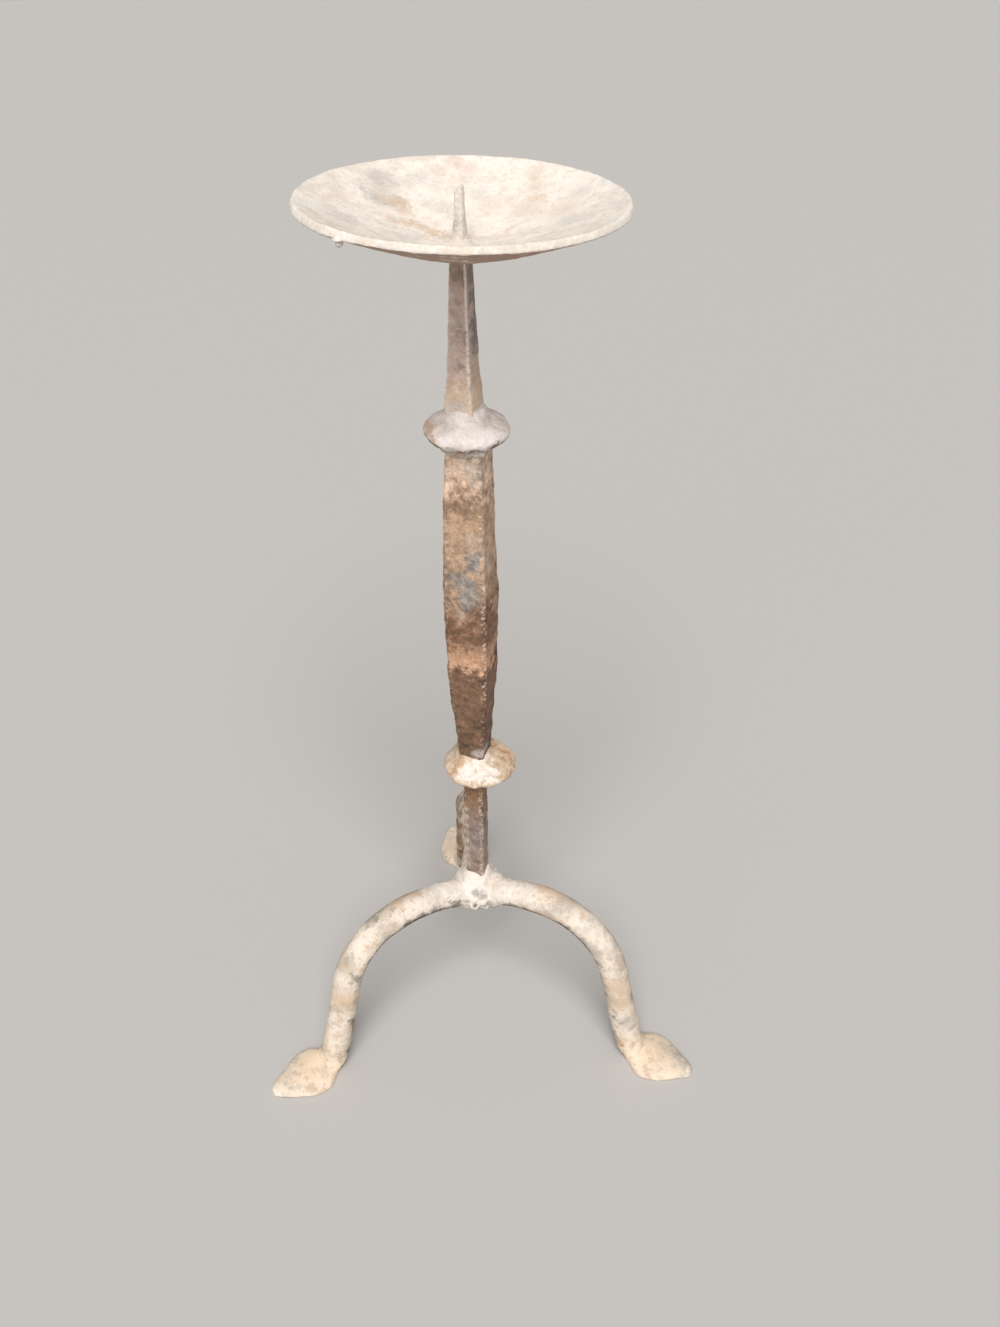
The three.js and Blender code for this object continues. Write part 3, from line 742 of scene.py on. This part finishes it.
def rusty_bar(name, centre, turn, tones, mottling, rubbed_heights, edges, marks=()):
    """Forged bar iron gone to dull rust: brown scale, mottled fine and coarse, with rubbed grey patches between
    two heights, and the long edges worn or flecked pale.
    A tone is a height in mm and the colour that the bar has there. An edge is where it begins, as a share of
    the half side, how even its paleness is, its lowest and highest mm, its tint and its strength."""
    material, tree = new_material(name)
    place = add(tree, "ShaderNodeTexCoord", {}).outputs["Object"]
    height = add(tree, "ShaderNodeSeparateXYZ", {0: place}).outputs["Z"]
    patches = add(tree, "ShaderNodeTexNoise", {
        "Vector": place, "Scale": per(9), "Detail": 7, "Roughness": 0.66, "Distortion": 0.3}).outputs["Fac"]
    mottle = add(tree, "ShaderNodeTexNoise", {
        "Vector": place, "Scale": per(3), "Detail": 7, "Roughness": 0.72, "Distortion": 0.1}).outputs["Fac"]
    # The real grain of rust is about 0.3 mm, too fine to show, so it is drawn coarser
    grit = add(tree, "ShaderNodeTexNoise", {
        "Vector": place, "Scale": per(0.9), "Detail": 4, "Roughness": 0.65}).outputs["Fac"]

    # The tones up the bar, whose borders wander by some 10 mm either way
    low, high = tones[0][0], tones[-1][0]
    ragged = add(tree, "ShaderNodeMix", {0: 0.55, 2: patches, 3: mottle}, data_type="FLOAT").outputs[0]
    wander = add(tree, "ShaderNodeMath", {
        0: ragged, 1: 64 * MM, 2: height}, operation="MULTIPLY_ADD").outputs[0]
    wander = add(tree, "ShaderNodeMath", {0: wander, 1: 32 * MM}, operation="SUBTRACT").outputs[0]
    level = add(tree, "ShaderNodeMapRange", {
        "Value": wander, "From Min": low * MM, "From Max": high * MM}).outputs["Result"]
    ramp = add(tree, "ShaderNodeValToRGB", {"Fac": level})
    for at, tint in tones[1:-1]:
        ramp.color_ramp.elements.new((at - low) / (high - low)).color = linear(tint)
    ramp.color_ramp.elements[0].color = linear(tones[0][1])
    ramp.color_ramp.elements[-1].color = linear(tones[-1][1])

    # Marks, mottling and rubbed patches
    colour = lay_marks(tree, ramp.outputs["Color"], place, ragged, marks)
    scaled = add(tree, "ShaderNodeMapRange", {
        "Value": ragged, "From Min": 0.39, "From Max": 0.61, "To Min": 1 - mottling, "To Max": 1 + mottling})
    colour = add(tree, "ShaderNodeVectorMath", {
        0: colour, "Scale": scaled.outputs["Result"]}, operation="SCALE").outputs[0]
    rubbed = add(tree, "ShaderNodeMapRange", {
        "Value": patches, "From Min": 0.54, "From Max": 0.66, "To Max": 0.5},
        interpolation_type="SMOOTHSTEP").outputs["Result"]
    rubbed = add(tree, "ShaderNodeMath", {
        0: rubbed, 1: between(tree, wander, *rubbed_heights, blur=5)}, operation="MULTIPLY").outputs[0]
    colour = add(tree, "ShaderNodeMix", {
        0: rubbed, 6: colour, 7: linear("#a5a09e")}, data_type="RGBA").outputs[2]

    # Long edges: how near a place is to one, in the bar's own turned frame, then how pale it is there
    flecks = add(tree, "ShaderNodeTexNoise", {
        "Vector": place, "Scale": per(1.5), "Detail": 4, "Roughness": 0.6}).outputs["Fac"]
    own = add(tree, "ShaderNodeMapping", {
        "Vector": place, "Location": centre, "Rotation": (0, 0, math.radians(turn))},
        vector_type="TEXTURE").outputs[0]
    across = add(tree, "ShaderNodeSeparateXYZ", {0: own})
    from_x = add(tree, "ShaderNodeMath", {0: across.outputs["X"]}, operation="ABSOLUTE").outputs[0]
    from_y = add(tree, "ShaderNodeMath", {0: across.outputs["Y"]}, operation="ABSOLUTE").outputs[0]
    nearer = add(tree, "ShaderNodeMath", {0: from_x, 1: from_y}, operation="MINIMUM").outputs[0]
    farther = add(tree, "ShaderNodeMath", {0: from_x, 1: from_y}, operation="MAXIMUM").outputs[0]
    corner = add(tree, "ShaderNodeMath", {0: nearer, 1: farther}, operation="DIVIDE").outputs[0]
    for start, evenness, edge_low, edge_high, tint, strength in edges:
        pale = add(tree, "ShaderNodeMapRange", {
            "Value": corner, "From Min": start - 0.12, "From Max": start + 0.12},
            interpolation_type="SMOOTHSTEP").outputs["Result"]
        kept = add(tree, "ShaderNodeMapRange", {
            "Value": flecks, "From Min": 0.56 - evenness, "From Max": 0.66 - evenness, "To Max": strength},
            interpolation_type="SMOOTHSTEP").outputs["Result"]
        for part in (kept, between(tree, wander, edge_low, edge_high, blur=3)):
            pale = add(tree, "ShaderNodeMath", {0: pale, 1: part}, operation="MULTIPLY").outputs[0]
        colour = add(tree, "ShaderNodeMix", {
            0: pale, 6: colour, 7: linear(tint)}, data_type="RGBA").outputs[2]
    speckled = add(tree, "ShaderNodeMapRange", {
        "Value": grit, "From Min": 0.3, "From Max": 0.65, "To Min": 1 - 0.45 * mottling,
        "To Max": 1 + 0.3 * mottling}).outputs["Result"]
    colour = add(tree, "ShaderNodeVectorMath", {0: colour, "Scale": speckled}, operation="SCALE").outputs[0]

    # Rust is dull and doesn't shine as metal does, and the rubbed patches are a little smoother
    rough = add(tree, "ShaderNodeMapRange", {
        "Value": rubbed, "To Min": 0.78, "To Max": 0.55}).outputs["Result"]
    relief = add(tree, "ShaderNodeMath", {0: grit, 1: mottle}, operation="ADD").outputs[0]
    bump = add(tree, "ShaderNodeBump", {
        "Strength": 0.7, "Distance": 0.25 * MM, "Height": relief}).outputs["Normal"]
    skin = add(tree, "ShaderNodeBsdfPrincipled", {
        "Base Color": colour, "Roughness": rough, "Metallic": 0.0, "Normal": bump})
    add(tree, "ShaderNodeOutputMaterial", {"Surface": skin.outputs["BSDF"]})
    return material


# The pan's coat is thick and nearly whole, so it looks pale, matt and chalky, and only faintly clouded
pan_finish = limewashed(
    "limewashed_sheet_iron", coat="#f8eee3", stain="#e3d2c1", smudge="#ddd4cb", bare=("#705646", "#c9a58c"),
    clouding=0.7, cover=0.42, lie=0.6, painted_underside_shade=0, marks=[
        ("#cac1b9", 0.65, [(-27.1, 32, 378, 4.6), (-26.2, 25.5, 376, 5.2), (-25.2, 19.5, 374, 4.2)]),
        ("#d6ba9f", 0.5, [(-22.6, 21.8, 373.4, 3.3), (-19, 17, 371.5, 2.6)]),
        ("#cfad8b", 0.55, [(-21.8, 9.4, 370.7, 2.3), (-17.5, 10, 369.6, 2.3), (-13.4, 10.4, 368.7, 2.5),
                           (-9.5, 8, 368, 2.5), (-5.9, 5.5, 367.7, 2.5)]),
        ("#d9c1b0", 0.5, [(-8.9, 40.7, 377.9, 2.9), (-4.5, 45.8, 379.5, 2.5), (0.8, 42.8, 378, 2.7)]),
        ("#dcc4aa", 0.45, [(22.8, 37.9, 377.8, 2.9), (22.5, 31, 375.5, 2.7), (22.5, 24.6, 373.2, 2.9)]),
        ("#e0ccb7", 0.45, [(8, 26, 371.4, 4.2), (20, 19, 372, 4.9), (31, 12.6, 372.7, 4.2)]),
        ("#d2cbc4", 0.45, [(4.1, 31, 373, 2.7), (-14.5, 36, 376.6, 2.7), (36, 20, 375.7, 3.2),
                           (-48, 8.4, 380.2, 3.2)]),
        ("#d5c9bd", 0.7, [(-0.8, 0, 368.6, 4.2)])])

# The legs' coat is thinner: warm cream on top, stained tan and grey at the sides, and dark rust underneath,
# with painted shade on what faces down and along the arches' undersides
leg_finish = limewashed(
    "limewashed_round_bar_iron", coat="#f0e3d3", stain="#cdb294", smudge="#b9aea3",
    bare=("#3c322b", "#947659"), clouding=0.78, cover=0.48, lie=1.3, painted_underside_shade=0.72, marks=[
        ("#f5d9ba", 0.75, [(-77.4, -47.4, 3, 12), (81.6, -39.8, 3, 12), (-8.7, 90.4, 3, 12)]),
        ("#c2b3a3", 0.55, [(76.5, -31.5, 6, 4.5), (89, -38, 4, 3.6), (-72, -50, 4, 3)]),
        ("#efe4d8", 0.85, [(-25, -15.5, 82.5, 10), (25, -12.2, 82.5, 9)]),
        ("#b8966f", 0.65, [(-30, -14, 89, 4.2), (-36, -18, 88, 4.5)]),
        ("#958b78", 0.65, [(-42, -21.5, 86.3, 3.6), (-47, -24.5, 84, 3.4), (-57.5, -37, 68, 4)]),
        ("#cfa97f", 0.55, [(30, -12, 89.3, 3.2), (36, -14.8, 88.8, 3.4), (-60.5, -42.5, 48, 5.5)]),
        ("#cfb292", 0.65, [(64, -35.5, 50, 5), (66, -37, 40, 5.5), (-58.5, -41, 28, 4)]),
        ("#a9a097", 0.7, [(43, -17.5, 86, 4), (61.5, -25.5, 69, 4.5), (65.5, -28, 60, 4), (67.5, -29, 50, 4),
                          (69.5, -36, 26, 4.5)]),
        ("#6f665e", 0.75, [(-54, -39.5, 62, 2.2), (70.7, -33, 36, 2.4), (71.5, -33.5, 30, 2),
                           (-62, -43, 12, 3)]),
        # Painted shade along the underside of the left arch, from the hub out
        ("#7a7068", 0.8, [(-19.4, -18.7, 81.6, 2.9), (-25, -22.2, 81.8, 2.7), (-30.3, -25.4, 81, 2.4),
                          (-43.7, -31.8, 71.9, 1.9)]),
        # Painted shade, a soft darkening, along the underside of the right arch
        ("#a3917d", 0.6, [(21.1, -16.8, 81.6, 2.5), (27.1, -19.8, 81.9, 2.5), (32.4, -22.4, 81.3, 2.5),
                          (37.6, -24.9, 79.9, 2.5), (42.4, -27.1, 77.5, 2.5), (46.9, -29.3, 74.1, 2.4)]),
        ("#c58f57", 0.55, [(66, -38.5, 11, 3.2)]),
        ("#8f6d4d", 0.9, [(-9.4, 21.9, 83, 5), (-10.2, 29.9, 84.2, 5), (-10.9, 37.8, 84.1, 5),
                          (-11.7, 45.8, 82, 5), (-12.5, 53.7, 77.2, 5.2), (-10.3, 60, 62, 7.5),
                          (-10.8, 66, 47, 7.5), (-11.4, 70.5, 32, 7.5), (-12, 74, 18, 6.5)])])

# The upper knop's coat is pale and a little rosy, chalky all over but for a brown stain on the left
upper_knop_finish = limewashed(
    "limewashed_forged_iron", coat="#f4ebe5", stain="#d8c8bd", smudge="#c6bab2", bare=("#5d4a3d", "#b08f74"),
    clouding=0.8, cover=0.24, lie=0.3, painted_underside_shade=0.2, marks=[
        ("#b98f69", 0.65, [(-12.8, -5.1, 309, 3), (-13.5, 0, 308.5, 3), (-11, -8.5, 306, 2.3)])])

# The lower knop's coat has gone tan with rust, and one chalky white patch is left at the front
lower_knop_finish = limewashed(
    "rust_stained_limewashed_iron", coat="#dcc3a7", stain="#b98f68", smudge="#c9b8a7",
    bare=("#5a4432", "#b08a66"), clouding=0.8, cover=0.26, lie=0.3, painted_underside_shade=0.2, marks=[
        ("#f6ece2", 0.95, [(2.3, -9.5, 158, 4.6), (-3, -9, 157, 3.3), (7, -10, 156, 3.3),
                           (1, -11, 153, 3.3)])])

# The welds' coat is pale and rough, with grey pits in the lumps that also carry painted shade from the lump
# above, and painted shade in the crater and under the left leg's toe
weld_finish = limewashed(
    "limewashed_weld_metal", coat="#f2e7dc", stain="#dccbba", smudge="#b9b0a7", bare=("#4a3d34", "#a08468"),
    clouding=0.75, cover=0.42, lie=0.6, painted_underside_shade=0.3, marks=[
        # Grey pits, darkened further with painted shade from the lump above them
        ("#a39b93", 0.75, [(-0.6, -9.4, 83, 1.5), (2.6, -9.6, 82, 1.6), (-4.6, -10.4, 79, 1.3),
                           (5.6, -10, 77, 1.6)]),
        # Painted shade in the crater's hollow and under the left leg's toe
        ("#776d64", 0.85, [(-1.2, -11.9, 77, 0.8), (-9.3, -13, 78.3, 2.6), (-14.5, -15.8, 80.5, 2.8),
                           (-19.4, -18.7, 81.6, 2.8)]),
        ("#8f6d4d", 0.9, [(-8.4, 14.5, 80, 4), (-9.4, 21.9, 83, 5), (-10.2, 29.9, 84.2, 5)])])

# The shaft is bare: dull brown rust in light and dark bands, rubbed grey in places, with pale worn edges, which
# on the lower stem are partly a painted highlight of light caught along them
shaft_finish = rusty_bar(
    "rusty_forged_bar_iron", AXIS, SHAFT_TURN, tones=[
        (60, "#a9937f"), (85, "#a58f7c"), (115, "#8f8078"), (145, "#8a6648"), (158, "#6b503d"),
        (185, "#7f604a"), (209, "#80604a"), (212, "#bd9376"), (219, "#c49a7b"), (222, "#7c5b42"),
        (234, "#886650"), (243, "#a5876e"), (262, "#b89a80"), (280, "#b6957a"), (290, "#d9b99e"),
        (302, "#e6cab5")],
    mottling=0.5, rubbed_heights=(238, 285),
    # The lower stem's pale edges, from 76 to 146 mm, are partly worn coat and partly a painted highlight
    edges=[(0.82, 0.02, 160, 310, "#e6d3c2", 0.75), (0.66, 0.06, 76, 146, "#d2beab", 0.75)], marks=[
        ("#a59d97", 0.75, [(1.9, -8.2, 262, 3), (2.2, -8.2, 258, 2.6), (-2.2, -7.6, 250, 4),
                           (0.2, -8.2, 246, 3.2), (-2, -7.8, 242, 2.4)]),
        ("#e8d2c0", 0.75, [(-0.5, -6.3, 298, 3), (3.5, -7.7, 292.7, 3)]),
        ("#d8b394", 0.65, [(-6, -6, 266, 3), (-6.5, -6, 272, 2.6)]),
        ("#c9bfb7", 0.8, [(1, -6.6, 165, 2), (3.4, -6.8, 166, 2.4), (5.6, -4.4, 166.5, 2.4)]),
        # Pale spots up the lower stem's front left edge: partly worn coat, partly a painted highlight
        ("#e3cdb6", 0.65, [(-4.9, -3, height, 1.6) for height in range(96, 136, 5)])])

# The tapered stem is rubbed and dusty: pale pinkish iron, grey up its right side, its edges flecked with coat,
# and darker just under the pan with the pan's painted shade
stem_finish = rusty_bar(
    "rubbed_forged_bar_iron", about_axis(STEM_OFFSET, 0, 0), STEM_TURN, tones=[
        (300, "#e6dbd1"), (314, "#e3d4c8"), (319, "#d8c0aa"), (325, "#cfb49c"), (331, "#ceb7a8"),
        # The darker tones at 362 and 366 mm, just under the pan, are painted shade of the pan
        (340, "#c4aea3"), (352, "#c1aa9f"), (362, "#a89082"), (366, "#a99a90"), (369, "#d3cac2"),
        (384, "#d8d0c8")],
    mottling=0.3, rubbed_heights=(330, 358), edges=[(0.82, 0.2, 322, 364, "#f3e7dc", 0.8)], marks=[
        ("#7d7a80", 0.7, [(3.2, -1.2, 358, 2.6), (3.3, -1.2, 351, 2.8), (3.5, -1.2, 344, 3),
                          (3.7, -1.2, 337, 3)]),
        ("#d8cbc1", 0.6, [(-4.3, -1.8, 352, 1.6), (-4.5, -1.8, 344, 1.8), (-4.7, -2, 336, 2)]),
        ("#8a7263", 0.55, [(-1.8, -3.2, 358, 1.8), (-2, -3.4, 350, 1.6), (-2, -3.6, 341, 1.6),
                           (-2.4, -4.2, 330, 1.8)]),
        ("#eddccb", 0.65, [(1.2, -4.8, 322, 2)]),
        ("#dcd4cc", 0.9, [(-0.8, 0, 372, 3.4), (-0.8, 0, 377, 3.4), (-0.8, 0, 382, 3.4)])])

# Pieces

finish_piece(make_pan(), pan_finish, "limewashed_iron", "drip_pan")
finish_piece(make_drip(), weld_finish, "limewashed_iron")
finish_piece(make_pan_weld(), pan_finish, "weld_metal", "pan_weld")
finish_piece(make_pricket(), stem_finish, "rusty_iron", "pricket_stem")
upper_knop = make_knop("forged_upper_knop", "upper_knop", lump=0.8, foot_side=10)
finish_piece(upper_knop, upper_knop_finish, "limewashed_iron", "upper_knop")
finish_piece(make_collar_weld(), weld_finish, "weld_metal", "upper_knop_weld")
finish_piece(make_shaft(), shaft_finish, "rusty_iron", "shaft")
lower_knop = make_knop("forged_lower_knop", "lower_knop", lump=1.2, foot_side=10.5)
dent(lower_knop, "VORONOI", size=2.6, depth=0.8)
finish_piece(lower_knop, lower_knop_finish, "limewashed_iron", "lower_knop")
finish_piece(make_hub_weld(), weld_finish, "weld_metal", "hub_weld")
leg_bar, ankle_reach = make_leg_bar()
leaf_foot = make_foot()
for node in LEG_AZIMUTHS:
    finish_piece(make_leg(leg_bar, leaf_foot, ankle_reach, node), leg_finish, "limewashed_iron", node)
for pattern in (leg_bar, leaf_foot):
    bpy.data.objects.remove(pattern)

# Stage

# A matt grey floor, 16 m wide, that shows nothing of its own but the shadows on it
bpy.ops.mesh.primitive_plane_add(size=16, location=(0, 3, 0))
floor = added("studio_floor")
floor_material, floor_tree = new_material("matt_grey_paper")
floor_skin = add(floor_tree, "ShaderNodeBsdfPrincipled", {"Base Color": linear("#c4c1bd"), "Roughness": 0.9})
add(floor_tree, "ShaderNodeOutputMaterial", {"Surface": floor_skin.outputs["BSDF"]})
floor.data.materials.append(floor_material)


def soft_light(name, towards, strength, spread):
    """A wide even lamp that shines along one direction, so that the floor is lit evenly."""
    light = bpy.data.lights.new(name, "SUN")
    light.energy = strength
    light.angle = math.radians(spread)
    lamp = bpy.data.objects.new(name, light)
    lamp.rotation_euler = Vector(towards).to_track_quat("-Z", "Y").to_euler()
    bpy.context.scene.collection.objects.link(lamp)


soft_light("soft_key", towards=(0, 0.56, -0.83), strength=2.4, spread=34)
soft_light("front_fill", towards=(0.2, 0.95, -0.25), strength=0.75, spread=60)

world = bpy.data.worlds.new("studio_air")
world.use_nodes = True
air = world.node_tree.nodes["Background"].inputs
air["Color"].default_value = linear("#f4f1ee")
air["Strength"].default_value = 0.36
bpy.context.scene.world = world
bpy.context.scene.view_settings.view_transform = "Standard"

camera = bpy.data.cameras.new("camera")
camera.lens = SENSOR_HEIGHT * FOCAL_LENGTH / PICTURE_HEIGHT
camera_object = bpy.data.objects.new("camera", camera)
camera_object.location = about_axis(*CAMERA_PLACE)
camera_tilt = Matrix.Rotation(math.pi / 2 - CAMERA_DIP, 3, "X") @ Matrix.Rotation(CAMERA_ROLL, 3, "Z")
camera_object.rotation_euler = camera_tilt.to_euler()
bpy.context.scene.collection.objects.link(camera_object)
bpy.context.scene.camera = camera_object

bpy.context.view_layer.update()
